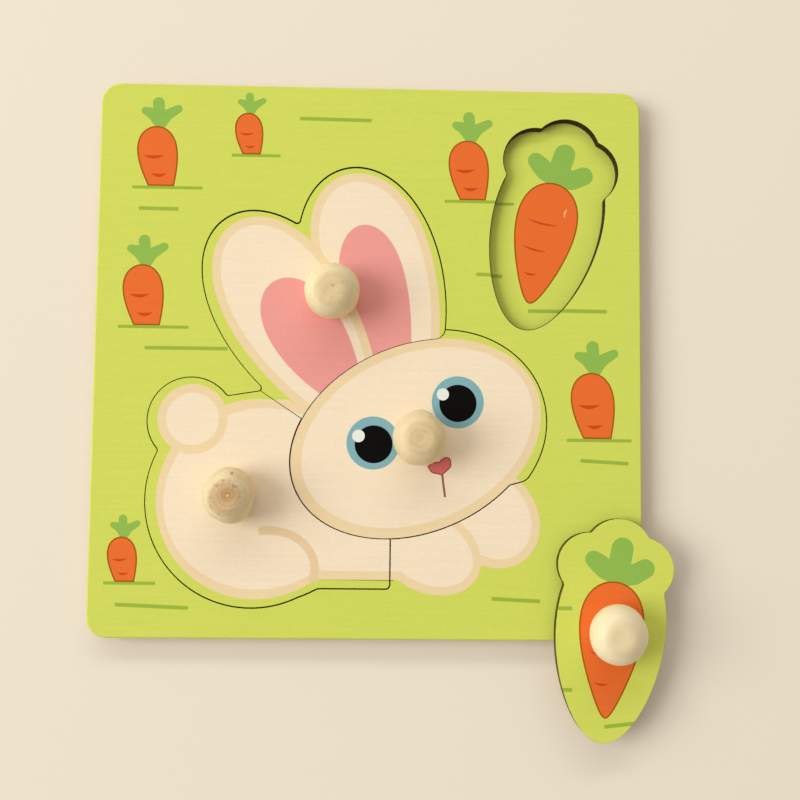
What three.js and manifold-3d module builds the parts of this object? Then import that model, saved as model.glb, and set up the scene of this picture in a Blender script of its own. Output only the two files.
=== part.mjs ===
// A toddler's knob puzzle: a printed plywood board with a rabbit in three lift-out pieces, and a lift-out
// carrot that lies loose across the board's lower right corner. Millimetres, +Z up.
// The origin is the middle of the board's underside, +X to the right of the picture and +Y to its top.

import * as THREE from "three";
import { mergeVertices } from "three/addons/utils/BufferGeometryUtils.js";
import Module from "manifold-3d";

const wasm = await Module();
wasm.setup();

// Board: a frame sheet with the cut-outs, glued on a backing sheet
const boardWidth = 148;
const boardDepth = 150;
const boardCornerRadius = 5.5;
const backingThickness = 3;
const frameThickness = 3;

// Width of the cut between two pieces, and between a piece and the frame
const cutGap = 0.4;

// Head: an ellipse, with a fuller cheek on the side where it meets the frame, down to a step at the front paw
const headX = 12.8;
const headY = -21.3;
const headLength = 70.5;
const headWidth = 50.4;
const headTilt = 23.9;
const cheekX = 18;
const cheekY = -18.6;
const cheekLength = 60.9;
const cheekWidth = 53;
const cheekTilt = 16;
const stepX = 38.8;
const stepY = -33.5;
const stepTilt = 15;
const stepCornerRadius = 3.8;
const stepNotchRadius = 0.8;

// Ears: two eggs, broad end up, with a round notch between them and a round corner beside the cheek.
// A straight cut parts them from the body, down from the frame's round nose at the back
const leftEarX = -19.5;
const leftEarY = 9.4;
const leftEarLength = 69.7;
const leftEarWidth = 37.5;
const leftEarTilt = 125.3;
const rightEarX = 1.2;
const rightEarY = 20.4;
const rightEarLength = 66;
const rightEarWidth = 37.8;
const rightEarTilt = 105.5;
const earTaper = 0.11;
const earNotchRadius = 1;
const earCornerRadius = 3;
const earCutX = -29.2;
const earCutY = -8.98;
const earCutTilt = -33.5;
const earCutLength = 20;
const earCutWidth = 6;

// Body: a round rump and haunch, a round tail, a straight back that runs up to the ears, and a belly that
// ends in a straight cut under the head
const rumpX = -30.8;
const rumpY = -38.4;
const rumpDiameter = 57.1;
const haunchX = -27.2;
const haunchY = -37.5;
const haunchDiameter = 56;
const tailX = -47.6;
const tailY = -17.3;
const tailDiameter = 23.4;
const tailNotchRadius = 1.2;
const backX = -40;
const backY = -10.87;
const backLength = 14.5;
const backTilt = 9.3;
const backNoseRadius = 1;
const bellyRight = 6.2;
const bellyBottom = -61.7;
const bellyCornerRadius = 1.2;
const bellyNotchRadius = 3;

// Carrot, in its own axes: an egg, narrow end down, with three round leaves
const carrotLength = 53;
const carrotWidth = 29.4;
const carrotTaper = 0.16;
const sideLeafX = 7.1;
const sideLeafY = 19.9;
const sideLeafDiameter = 17.3;
const topLeafX = 0.5;
const topLeafY = 23.6;
const topLeafDiameter = 18.6;
const leafNotchRadius = 0.7;
const shoulderNotchRadius = 1.6;

// The carrot's recess, and the place where the carrot lies, measured from the board's edges
const recessFromRight = 26.5;
const recessFromTop = 40.3;
const recessTurn = -13;
const carrotFromRight = 9.5;
const carrotFromBottom = 0.1;
const carrotTurn = -5;

// Knobs: a turned ball with a flat foot and a flat top, and a tenon through its piece
const knobDiameter = 15;
const knobHeight = 15;
const knobWaistHeight = 7;
const knobFootDiameter = 10;
const knobTopDiameter = 8.6;
const tenonDiameter = 5;
const tenonGap = 0.2;
const tenonShort = 0.2;
const earsKnobX = -10;
const earsKnobY = 17.2;
const headKnobX = 13.7;
const headKnobY = -21.5;
const bodyKnobX = -35.6;
const bodyKnobY = -37;
const carrotKnobX = 0.6;
const carrotKnobY = 2.7;

// Fineness of the curves
const outlineStep = 1.5;
const arcSteps = 8;
const knobSides = 24;
const knobArcSteps = 5;

// How far a corner filling reaches into its neighbours, and a cutter past the sheet
const weldDepth = 0.05;
const cutterReach = 1;

const degrees = THREE.MathUtils.degToRad;
const halfGap = cutGap / 2;

// Closed outlines, as lists of points that run anticlockwise

function egg(x, y, length, width, tilt, taper = 0) {
  const steps = Math.round((Math.PI * (length + width)) / 2 / outlineStep);
  const middle = new THREE.Vector2(x, y);
  const points = [];
  for (let i = 0; i < steps; i += 1) {
    const t = (i / steps) * 2 * Math.PI;
    const along = (length / 2) * Math.cos(t);
    const across = (width / 2) * Math.sin(t) * (1 + taper * Math.cos(t));
    const point = new THREE.Vector2(x + along, y + across);
    points.push(point.rotateAround(middle, degrees(tilt)));
  }
  return points;
}

function disc(x, y, diameter) {
  return egg(x, y, diameter, diameter, 0);
}

function roundedRectangle(left, bottom, right, top, radius) {
  const shape = new THREE.Shape();
  shape.absarc(right - radius, bottom + radius, radius, -Math.PI / 2, 0);
  shape.absarc(right - radius, top - radius, radius, 0, Math.PI / 2);
  shape.absarc(left + radius, top - radius, radius, Math.PI / 2, Math.PI);
  shape.absarc(left + radius, bottom + radius, radius, Math.PI, (3 * Math.PI) / 2);
  return shape.getPoints(arcSteps);
}

// The outline moved out by a distance, or in if that is negative
function grown(points, distance) {
  return points.map((point, i) => {
    const before = points.at(i - 1);
    const after = points[(i + 1) % points.length];
    const first = point.clone().sub(before).normalize();
    const second = after.clone().sub(point).normalize();
    const miter = new THREE.Vector2(first.y + second.y, -first.x - second.x);
    return point.clone().addScaledVector(miter, distance / (1 + first.dot(second)));
  });
}

// Points where two outlines cross
function crossings(outlineA, outlineB) {
  const found = [];
  outlineA.forEach((a, i) => {
    const alongA = outlineA[(i + 1) % outlineA.length].clone().sub(a);
    outlineB.forEach((b, j) => {
      const alongB = outlineB[(j + 1) % outlineB.length].clone().sub(b);
      const apart = b.clone().sub(a);
      const spread = alongA.cross(alongB);
      const s = apart.cross(alongB) / spread;
      const t = apart.cross(alongA) / spread;
      if (s >= 0 && s < 1 && t >= 0 && t < 1) {
        found.push(a.clone().addScaledVector(alongA, s));
      }
    });
  });
  return found;
}

function nearest(points, target) {
  return points.reduce((best, p) => (p.distanceTo(target) < best.distanceTo(target) ? p : best));
}

// The direction, as an angle, from a target to the place on an outline that is nearest to it
function angleTowards(outline, target) {
  const places = outline.map((p, i) => {
    const along = outline[(i + 1) % outline.length].clone().sub(p);
    const share = target.clone().sub(p).dot(along) / along.lengthSq();
    return p.clone().addScaledVector(along, THREE.MathUtils.clamp(share, 0, 1));
  });
  return nearest(places, target).sub(target).angle();
}

// The filling of the corner between two outlines, bounded by an arc about centre that touches both of them
function cornerFilling(outlineA, outlineB, centre, radius) {
  const corner = nearest(crossings(outlineA, outlineB), centre);
  const start = angleTowards(outlineA, centre);
  const turn = angleTowards(outlineB, centre) - start;
  const sweep = Math.atan2(Math.sin(turn), Math.cos(turn));
  const beyond = corner.clone().sub(centre).setLength(centre.distanceTo(corner) + weldDepth);
  const points = [beyond.add(centre)];
  for (let i = 0; i <= arcSteps; i += 1) {
    const atEnd = i === 0 || i === arcSteps;
    const reach = radius + (atEnd ? weldDepth : 0);
    const angle = start + (sweep * i) / arcSteps;
    points.push(new THREE.Vector2(reach, 0).rotateAround(new THREE.Vector2(), angle).add(centre));
  }
  return THREE.ShapeUtils.isClockWise(points) ? points.reverse() : points;
}

// The fillings of the notches between two outlines that run into each other
function notchFillings(outlineA, outlineB, radius, grow) {
  const centres = crossings(grown(outlineA, radius), grown(outlineB, radius));
  const a = grown(outlineA, grow);
  const b = grown(outlineB, grow);
  return centres.map((centre) => cornerFilling(a, b, centre, radius - grow));
}

// The filling, on the outer outline's side, of the rightmost corner that it makes with the inner outline
function rightCornerFilling(inner, outer, radius, grow) {
  const centres = crossings(grown(inner, -radius), grown(outer, radius));
  const rightmost = centres.reduce((best, p) => (p.x > best.x ? p : best));
  return cornerFilling(grown(inner, -grow), grown(outer, grow), rightmost, radius - grow);
}

function placed(points, x, y, turn) {
  const origin = new THREE.Vector2();
  return points.map((p) => p.clone().rotateAround(origin, degrees(turn)).add(new THREE.Vector2(x, y)));
}

// Solids

function solidOf(geometry) {
  geometry.deleteAttribute("normal");
  geometry.deleteAttribute("uv");
  const merged = mergeVertices(geometry);
  const vertProperties = merged.getAttribute("position").array;
  const triVerts = new Uint32Array(merged.index.array);
  return new wasm.Manifold(new wasm.Mesh({ numProp: 3, vertProperties, triVerts }));
}

function geometryOf(solid) {
  const { vertProperties, triVerts } = solid.getMesh();
  const geometry = new THREE.BufferGeometry();
  geometry.setAttribute("position", new THREE.BufferAttribute(vertProperties, 3));
  geometry.setIndex(new THREE.BufferAttribute(triVerts, 1));
  return geometry;
}

// One or more outlines, joined into a plate with its underside at z = 0
function plate(outlines, thickness, reach = 0) {
  const depth = thickness + 2 * reach;
  const slabs = outlines.map((points) => {
    const slab = new THREE.ExtrudeGeometry(new THREE.Shape(points), { depth, bevelEnabled: false });
    return solidOf(slab.translate(0, 0, -reach));
  });
  return slabs.reduce((whole, slab) => whole.add(slab));
}

function cutter(outlines) {
  return plate(outlines, frameThickness, cutterReach);
}

// The picture's outlines, on the middle of each cut

const board = roundedRectangle(
  -boardWidth / 2,
  -boardDepth / 2,
  boardWidth / 2,
  boardDepth / 2,
  boardCornerRadius,
);
const head = egg(headX, headY, headLength, headWidth, headTilt);
const cheek = egg(cheekX, cheekY, cheekLength, cheekWidth, cheekTilt);
const step = placed(
  roundedRectangle(-headWidth / 2, -headWidth, headLength, 0, stepCornerRadius),
  stepX,
  stepY,
  stepTilt,
);
const leftEar = egg(leftEarX, leftEarY, leftEarLength, leftEarWidth, leftEarTilt, earTaper);
const rightEar = egg(rightEarX, rightEarY, rightEarLength, rightEarWidth, rightEarTilt, earTaper);
const earCut = placed(
  roundedRectangle(-earCutWidth / 2, 0, earCutLength, earCutWidth, backNoseRadius),
  earCutX,
  earCutY,
  earCutTilt,
);
const rump = disc(rumpX, rumpY, rumpDiameter);
const haunch = disc(haunchX, haunchY, haunchDiameter);
const back = placed(
  roundedRectangle(0, -rumpDiameter / 2, backLength, 0, backNoseRadius),
  backX,
  backY,
  backTilt,
);
const tail = disc(tailX, tailY, tailDiameter);
const belly = roundedRectangle(rumpX, bellyBottom, bellyRight, headY, bellyCornerRadius);
const root = egg(0, 0, carrotLength, carrotWidth, 90, carrotTaper);
const leftLeaf = disc(-sideLeafX, sideLeafY, sideLeafDiameter);
const topLeaf = disc(topLeafX, topLeafY, topLeafDiameter);
const rightLeaf = disc(sideLeafX, sideLeafY, sideLeafDiameter);

// The head also fills what the right ear's round corner leaves, and the notch at the inner end of the step
const headOutlines = (grow) => [
  grown(head, grow),
  rightCornerFilling(rightEar, head, earCornerRadius, grow),
  rightCornerFilling(step, head, stepNotchRadius, grow),
];
// What the cheek leaves free below the step, its round corner included
const stepOutlines = (grow) => [
  grown(step, grow),
  rightCornerFilling(cheek, step, stepCornerRadius, grow),
];
const earsOutlines = (grow) => [
  grown(leftEar, grow),
  grown(rightEar, grow),
  ...notchFillings(leftEar, rightEar, earNotchRadius, grow),
];
const bodyOutlines = (grow) => [
  grown(rump, grow),
  grown(haunch, grow),
  grown(tail, grow),
  grown(back, grow),
  grown(belly, grow),
  ...notchFillings(rump, tail, tailNotchRadius, grow),
  ...notchFillings(tail, back, tailNotchRadius, grow),
  ...notchFillings(leftEar, back, backNoseRadius, grow),
  ...notchFillings(haunch, belly, bellyNotchRadius, grow),
];
const carrotOutlines = (grow) => [
  grown(root, grow),
  grown(leftLeaf, grow),
  grown(topLeaf, grow),
  grown(rightLeaf, grow),
  ...notchFillings(leftLeaf, topLeaf, leafNotchRadius, grow),
  ...notchFillings(topLeaf, rightLeaf, leafNotchRadius, grow),
  ...notchFillings(root, leftLeaf, shoulderNotchRadius, grow),
  ...notchFillings(root, rightLeaf, shoulderNotchRadius, grow),
];

// The ears also take what lies above their cut, and give way to the head. The cheek gives way to the ears and
// the step, and the body to all of them

function earsPlate(make, grow) {
  const aboveCut = make(bodyOutlines(grow)).intersect(cutter([grown(earCut, grow)]));
  return make(earsOutlines(grow)).add(aboveCut).subtract(cutter(headOutlines(-grow)));
}

function headPlate(make, grow) {
  const fullCheek = make([grown(cheek, grow)]);
  const cheekOnly = fullCheek.subtract(earsPlate(cutter, -grow)).subtract(cutter(stepOutlines(-grow)));
  return make(headOutlines(grow)).add(cheekOnly);
}

function bodyPlate(make, grow) {
  const ears = earsPlate(cutter, -grow);
  const face = headPlate(cutter, -grow);
  return make(bodyOutlines(grow)).subtract(face).subtract(ears);
}

const sheet = (outlines) => plate(outlines, frameThickness);

function drilled(piece, x, y) {
  return piece.subtract(cutter([disc(x, y, tenonDiameter + 2 * tenonGap)]));
}

const recess = carrotOutlines(halfGap).map((points) =>
  placed(points, boardWidth / 2 - recessFromRight, boardDepth / 2 - recessFromTop, recessTurn),
);
const earsAndBody = cutter([...earsOutlines(halfGap), ...bodyOutlines(halfGap)]);
const rabbitHole = earsAndBody.add(headPlate(cutter, halfGap));
const frame = sheet([board]).subtract(rabbitHole).subtract(cutter(recess));
const ears = drilled(earsPlate(sheet, -halfGap), earsKnobX, earsKnobY);
const face = drilled(headPlate(sheet, -halfGap), headKnobX, headKnobY);
const body = drilled(bodyPlate(sheet, -halfGap), bodyKnobX, bodyKnobY);
const carrot = drilled(sheet(carrotOutlines(-halfGap)), carrotKnobX, carrotKnobY);

// A quarter of an ellipse from the knob's widest ring to the rim of one of its flats, as radius and height
function knobArc(flatDiameter, flatHeight) {
  const widest = knobDiameter / 2;
  const end = Math.acos(flatDiameter / knobDiameter);
  const rise = (flatHeight - knobWaistHeight) / Math.sin(end);
  const points = [];
  for (let i = 0; i <= knobArcSteps; i += 1) {
    const t = (end * i) / knobArcSteps;
    points.push(new THREE.Vector2(widest * Math.cos(t), knobWaistHeight + rise * Math.sin(t)));
  }
  return points;
}

// The knob's foot is at z = 0, and its tenon hangs below it
function knobGeometry() {
  const tenonEnd = tenonShort - frameThickness;
  const profile = [
    new THREE.Vector2(0, tenonEnd),
    new THREE.Vector2(tenonDiameter / 2, tenonEnd),
    new THREE.Vector2(tenonDiameter / 2, 0),
    ...knobArc(knobFootDiameter, 0).reverse(),
    ...knobArc(knobTopDiameter, knobHeight).slice(1),
    new THREE.Vector2(0, knobHeight),
  ];
  return new THREE.LatheGeometry(profile, knobSides).rotateX(Math.PI / 2);
}

// Finishes

const barePly = new THREE.MeshStandardMaterial({ color: 0xdcc39a, roughness: 0.7, metalness: 0 });
const greenPrint = new THREE.MeshStandardMaterial({ color: 0xd2dc5f, roughness: 0.5, metalness: 0 });
const creamPrint = new THREE.MeshStandardMaterial({ color: 0xf7e4c8, roughness: 0.5, metalness: 0 });
const turnedWood = new THREE.MeshStandardMaterial({ color: 0xdec8a0, roughness: 0.6, metalness: 0 });

// Assembly

function part(name, geometry, material) {
  const mesh = new THREE.Mesh(geometry, material);
  mesh.name = name;
  return mesh;
}

function liftOutPiece(name, solid, material, knobX, knobY) {
  const piece = new THREE.Group();
  const knob = part(`${name}_knob`, knobGeometry(), turnedWood);
  knob.position.set(knobX, knobY, frameThickness);
  piece.add(part(`${name}_piece`, geometryOf(solid), material), knob);
  return piece;
}

const puzzle = new THREE.Group();

puzzle.add(part("backing_board", geometryOf(plate([board], backingThickness)), barePly));

const frameBoard = part("frame_board", geometryOf(frame), greenPrint);
frameBoard.position.z = backingThickness;
puzzle.add(frameBoard);

const rabbit = new THREE.Group();
rabbit.position.z = backingThickness;
rabbit.add(
  liftOutPiece("ears", ears, creamPrint, earsKnobX, earsKnobY),
  liftOutPiece("head", face, creamPrint, headKnobX, headKnobY),
  liftOutPiece("body", body, creamPrint, bodyKnobX, bodyKnobY),
);
puzzle.add(rabbit);

const looseCarrot = liftOutPiece("carrot", carrot, greenPrint, carrotKnobX, carrotKnobY);
looseCarrot.position.set(
  boardWidth / 2 - carrotFromRight,
  carrotFromBottom - boardDepth / 2,
  backingThickness + frameThickness,
);
looseCarrot.rotation.z = degrees(carrotTurn);
puzzle.add(looseCarrot);

export default puzzle;
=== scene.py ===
"""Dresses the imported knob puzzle: prints its sheets, burns their cuts, turns its knobs and lights the scene.

Lengths are in millimetres and angles in degrees unless a name says otherwise. Meshes are in metres, in the
frame's axes: +X to the right of the picture, +Y to its top and +Z out of the printed face.
"""

import functools
import logging
import math
from collections.abc import Iterable, Mapping, Sequence
from dataclasses import dataclass, field, replace
from enum import Enum
from typing import Any

import bmesh
import bpy
import numpy as np
from mathutils import Matrix, Vector
from mathutils.geometry import convex_hull_2d, delaunay_2d_cdt


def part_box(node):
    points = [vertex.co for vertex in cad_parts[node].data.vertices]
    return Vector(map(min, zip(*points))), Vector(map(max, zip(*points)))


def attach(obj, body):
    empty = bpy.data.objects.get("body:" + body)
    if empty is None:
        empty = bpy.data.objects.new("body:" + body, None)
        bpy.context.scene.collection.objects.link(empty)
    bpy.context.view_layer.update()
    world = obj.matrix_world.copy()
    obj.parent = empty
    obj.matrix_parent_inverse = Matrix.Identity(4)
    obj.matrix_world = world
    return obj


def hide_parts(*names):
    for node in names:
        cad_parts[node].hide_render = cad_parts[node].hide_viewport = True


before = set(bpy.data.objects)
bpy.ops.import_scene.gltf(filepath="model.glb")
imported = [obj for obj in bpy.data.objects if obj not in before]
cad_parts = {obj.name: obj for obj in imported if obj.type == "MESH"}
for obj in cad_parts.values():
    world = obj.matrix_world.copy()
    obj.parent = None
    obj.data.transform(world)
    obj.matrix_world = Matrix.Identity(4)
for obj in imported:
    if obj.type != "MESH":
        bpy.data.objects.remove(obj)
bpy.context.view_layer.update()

LOG = logging.getLogger("knob_puzzle")
MM = 0.001
# Lengths below this count as none, in metres or in millimetres.
TINY = 1e-6
# Points of a print that are closer than this, in millimetres, become one.
MERGE_GAP = 1e-4
# What delaunay_2d_cdt is asked for: only the triangles inside the outlines.
CDT_INSIDE = 1

Point = tuple[float, float]
Disc = tuple[float, float, float]
Outline = list[Point]
Rgb = tuple[int, int, int]
Colour = tuple[float, float, float, float]


def linear(rgb: Rgb, gain: float = 1.0) -> Colour:
    """Turns an sRGB colour into the linear one that a shader takes.

    Args:
        rgb: Red, green and blue from 0 to 255.
        gain: What the linear levels are multiplied by.

    Returns:
        The linear colour, with an alpha of 1.
    """
    shares = [value / 255 for value in rgb]
    levels = [s / 12.92 if s <= 0.04045 else ((s + 0.055) / 1.055) ** 2.4 for s in shares]
    red, green, blue = (min(1.0, level * gain) for level in levels)
    return (red, green, blue, 1.0)


class Value:
    """One output socket of a shader tree, with arithmetic that adds Math nodes."""

    def __init__(self, tree: "ShaderTree", socket: bpy.types.NodeSocket) -> None:
        """Keeps the socket and the tree that it belongs to."""
        self.tree = tree
        self.socket = socket

    def _math(self, operation: str, first: "Value | float", second: "Value | float" = 0.0) -> "Value":
        """Adds one Math node and gives its result."""
        return self.tree.add("ShaderNodeMath", {"operation": operation}, {0: first, 1: second})

    def __add__(self, other: "Value | float") -> "Value":
        """This value plus the other."""
        return self._math("ADD", self, other)

    def __radd__(self, other: float) -> "Value":
        """A number plus this value."""
        return self._math("ADD", other, self)

    def __sub__(self, other: "Value | float") -> "Value":
        """This value less the other."""
        return self._math("SUBTRACT", self, other)

    def __rsub__(self, other: float) -> "Value":
        """A number less this value."""
        return self._math("SUBTRACT", other, self)

    def __mul__(self, other: "Value | float") -> "Value":
        """This value times the other."""
        return self._math("MULTIPLY", self, other)

    def __rmul__(self, other: float) -> "Value":
        """A number times this value."""
        return self._math("MULTIPLY", other, self)

    def __pow__(self, other: float) -> "Value":
        """This value to a power."""
        return self._math("POWER", self, other)

    def __mod__(self, other: float) -> "Value":
        """What is left of this value after whole steps of the other."""
        return self._math("FLOORED_MODULO", self, other)

    def __abs__(self) -> "Value":
        """This value without its sign."""
        return self._math("ABSOLUTE", self)

    def sine(self) -> "Value":
        """The sine of this value, in radians."""
        return self._math("SINE", self)

    def larger(self, other: "Value | float") -> "Value":
        """The larger of this value and the other."""
        return self._math("MAXIMUM", self, other)

    def smooth(self, start: float, end: float) -> "Value":
        """A soft step of this value.

        Args:
            start: Where the step is 0.
            end: Where the step is 1, which may be below the start.

        Returns:
            The step, from 0 to 1.
        """
        low, high = min(start, end), max(start, end)
        limits = {"Value": self, "From Min": low, "From Max": high}
        step = self.tree.add("ShaderNodeMapRange", {"interpolation_type": "SMOOTHSTEP"}, limits)
        return step if start < end else 1 - step


class ShaderTree:
    """The nodes of one material or of the world."""

    def __init__(self, owner: bpy.types.Material | bpy.types.World) -> None:
        """Takes the owner's node tree and empties it."""
        owner.use_nodes = True
        self.tree = owner.node_tree
        self.tree.nodes.clear()
        is_world = isinstance(owner, bpy.types.World)
        self.end = "ShaderNodeOutputWorld" if is_world else "ShaderNodeOutputMaterial"

    def add(
        self,
        kind: str,
        settings: Mapping[str, Any] | None = None,
        inputs: Mapping[int | str, Any] | None = None,
        output: int | str = 0,
    ) -> Value:
        """Adds any node.

        Args:
            kind: The node's type.
            settings: The node's own settings, which are set first.
            inputs: A number, a colour, a vector or a value to link, by socket.
            output: The socket that is given back.

        Returns:
            The chosen output.
        """
        node = self.tree.nodes.new(kind)
        for name, setting in (settings or {}).items():
            setattr(node, name, setting)
        for name, given in (inputs or {}).items():
            if isinstance(given, Value):
                self.tree.links.new(given.socket, node.inputs[name])
            else:
                node.inputs[name].default_value = given
        return Value(self, node.outputs[output])

    def place(self) -> Value:
        """The place on the piece at rest, in millimetres."""
        metres = self.add("ShaderNodeTexCoord", output="Object")
        return self.add("ShaderNodeVectorMath", {"operation": "SCALE"}, {0: metres, "Scale": 1 / MM})

    def moved(self, place: Value, by: Sequence[float]) -> Value:
        """The place measured from another origin."""
        return self.add("ShaderNodeVectorMath", {"operation": "SUBTRACT"}, {0: place, 1: tuple(by)})

    def parts(self, vector: Value) -> tuple[Value, Value, Value]:
        """The three numbers of a vector."""
        first = self.add("ShaderNodeSeparateXYZ", {}, {0: vector})
        outputs = first.socket.node.outputs
        return (first, Value(self, outputs[1]), Value(self, outputs[2]))

    def reach(self, place: Value, middle: Point) -> Value:
        """How far a place is from an upright line."""
        x, y, _ = self.parts(self.moved(place, (*middle, 0.0)))
        return (x**2 + y**2) ** 0.5

    def noise(self, place: Value, scale: float, detail: float = 2.0, bend: float = 0.0) -> Value:
        """Soft noise about 0.5.

        Args:
            place: Where it is read.
            scale: How many swells there are to one unit of the place.
            detail: How many finer layers are added.
            bend: How much it twists itself.

        Returns:
            The noise, from 0 to 1.
        """
        inputs = {"Vector": place, "Scale": scale, "Detail": detail, "Distortion": bend}
        return self.add("ShaderNodeTexNoise", {}, inputs)

    def grain(self, place: Value, scales: Sequence[float], detail: float, bend: float = 0.0) -> Value:
        """Soft noise with a scale of its own along each axis, so that it runs in streaks."""
        drawn = self.add("ShaderNodeVectorMath", {"operation": "MULTIPLY"}, {0: place, 1: tuple(scales)})
        return self.noise(drawn, 1.0, detail, bend)

    def mix(self, share: Value | float, first: Value | Colour, second: Value | Colour) -> Value:
        """A colour between two colours."""
        return self.add("ShaderNodeMix", {"data_type": "RGBA"}, {0: share, 6: first, 7: second}, 2)

    def shade(self, share: Value, rgb: Rgb, dark: float, light: float) -> Value:
        """A colour between a dark and a light level of itself."""
        return self.mix(share, linear(rgb, dark), linear(rgb, light))

    def bump(self, height: Value, strength: float, depth: float) -> Value:
        """A normal that is bent by a height of a given depth in millimetres."""
        inputs = {"Height": height, "Strength": strength, "Distance": depth * MM}
        return self.add("ShaderNodeBump", {}, inputs)

    def seen(self) -> Value:
        """1 for rays that the camera sees by, also in gloss and glass, and 0 for rays that only light."""
        rays = self.add("ShaderNodeLightPath", output="Is Camera Ray")
        outputs = rays.socket.node.outputs
        for name in ("Is Glossy Ray", "Is Transmission Ray"):
            rays = rays.larger(Value(self, outputs[name]))
        return rays

    def surface(self, colour: Value, roughness: Value, normal: Value, gloss: float) -> Value:
        """Adds a surface.

        Args:
            colour: The base colour.
            roughness: The roughness.
            normal: The normal.
            gloss: How strongly it mirrors, which is the same all over.

        Returns:
            The surface's shader.
        """
        inputs = {"Base Color": colour, "Roughness": roughness, "Normal": normal, "Specular IOR Level": gloss}
        return self.add("ShaderNodeBsdfPrincipled", {}, inputs)

    def finish(self, shader: Value) -> None:
        """Ends the tree in a shader."""
        self.tree.links.new(shader.socket, self.tree.nodes.new(self.end).inputs["Surface"])


class Ink(Enum):
    """The inks of the print, as sRGB colours."""

    GREEN = (212, 220, 95)
    DASH = (158, 184, 64)
    LEAF = (147, 188, 81)
    ORANGE = (237, 113, 48)
    ORANGE_EDGE = (166, 92, 16)
    WRINKLE = (212, 74, 28)
    PEACH = (242, 215, 168)
    LEG = (236, 206, 160)
    CREAM = (248, 228, 196)
    PINK = (240, 159, 150)
    BLUE = (131, 178, 183)
    BLACK = (7, 6, 5)
    WHITE = (238, 238, 226)
    NOSE = (220, 112, 106)
    NOSE_EDGE = (150, 66, 60)
    MOUTH = (162, 94, 78)
    OLIVE = (150, 152, 66)
    # A pale orange for one small crescent on the recess's carrot.
    PALE_MARK = (246, 176, 120)


class Finish:
    """A finish that makes its material once and gives the same one each time."""

    @functools.cache
    def material(self) -> bpy.types.Material:
        """The finish's material."""
        made = bpy.data.materials.new(self.title())
        tree = ShaderTree(made)
        tree.finish(self.dress(tree))
        return made

    def title(self) -> str:
        """The material's name."""
        raise NotImplementedError

    def dress(self, tree: ShaderTree) -> Value:
        """Fills the material's node tree and gives its shader."""
        raise NotImplementedError


@dataclass(frozen=True)
class PrintedFace(Finish):
    """Ink on a sanded sheet under a satin varnish, with the wood's grain just showing through."""

    ink: Ink
    grain_length: float = 24.0
    grain_width: float = 0.8
    mottle: float = 0.7
    uneven: float = 0.028

    def title(self) -> str:
        """The material's name."""
        return f"print_{self.ink.name.lower()}"

    def dress(self, tree: ShaderTree) -> Value:
        """Fills the material's node tree and gives its shader."""
        place = tree.place()
        grain = tree.grain(place, (1 / self.grain_length, 1 / self.grain_width, 1.0), 4.0)
        mottle = tree.noise(place, 1 / self.mottle, 3.0)
        tone = (0.5 * grain + 0.5 * mottle).smooth(0.3, 0.7)
        colour = tree.shade(tone, self.ink.value, 1 - self.uneven, 1 + self.uneven)
        normal = tree.bump(0.7 * grain + 0.3 * mottle, 0.18, 0.05)
        return tree.surface(colour, 0.44 + 0.2 * grain, normal, 0.05)


@dataclass(frozen=True)
class BurntCut(Finish):
    """A laser-cut wall: charred, with fine upright scorch marks and darker veneer joints."""

    place: str = "rabbit"
    char: Rgb = (34, 23, 10)
    toast: Rgb = (92, 62, 32)
    veneer: float = 1.0

    def title(self) -> str:
        """The material's name."""
        return f"burnt_cut_{self.place}"

    def dress(self, tree: ShaderTree) -> Value:
        """Fills the material's node tree and gives its shader."""
        place = tree.place()
        _, _, height = tree.parts(place)
        scorch = tree.grain(place, (2.4, 2.4, 0.2), 3.0)
        cloud = tree.noise(place, 0.3, 2.0)
        joint = abs(height % self.veneer - self.veneer / 2).smooth(0.4, 0.5) * 0.35
        pale = (0.6 * scorch + 0.4 * cloud).smooth(0.35, 0.7) * (1 - joint)
        colour = tree.mix(pale, linear(self.char), linear(self.toast))
        normal = tree.bump(scorch, 0.5, 0.12)
        return tree.surface(colour, 0.7 + 0.2 * cloud, normal, 0.2)


@dataclass(frozen=True)
class SawnPly(Finish):
    """The board's sanded outer edge: pale veneers with long grain, and a brown cross-grained one between."""

    long_grain: Rgb = (222, 196, 150)
    cross_grain: Rgb = (176, 138, 92)
    glue: Rgb = (112, 80, 46)
    veneer: float = 1.0

    def title(self) -> str:
        """The material's name."""
        return "sawn_ply_edge"

    def dress(self, tree: ShaderTree) -> Value:
        """Fills the material's node tree and gives its shader."""
        place = tree.place()
        _, _, height = tree.parts(place)
        streaks = tree.grain(place, (0.12, 0.12, 5.0), 4.0)
        pores = tree.grain(place, (3.0, 3.0, 1.6), 3.0)
        wander = height + 0.14 * (tree.noise(place, 0.08, 2.0) - 0.5)
        middle = 1 - abs(wander % (3 * self.veneer) - 1.5 * self.veneer).smooth(0.46, 0.54)
        joint = abs(wander % self.veneer - self.veneer / 2).smooth(0.42, 0.49)
        pale = tree.shade(streaks.smooth(0.25, 0.75), self.long_grain, 0.8, 1.1)
        brown = tree.shade(pores.smooth(0.3, 0.7), self.cross_grain, 0.6, 1.2)
        layers = tree.mix(middle, pale, brown)
        colour = tree.mix(joint * 0.7, layers, linear(self.glue))
        normal = tree.bump(streaks * (1 - middle) + pores * middle, 0.4, 0.12)
        return tree.surface(colour, 0.6 + 0.25 * pores, normal, 0.25)


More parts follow.
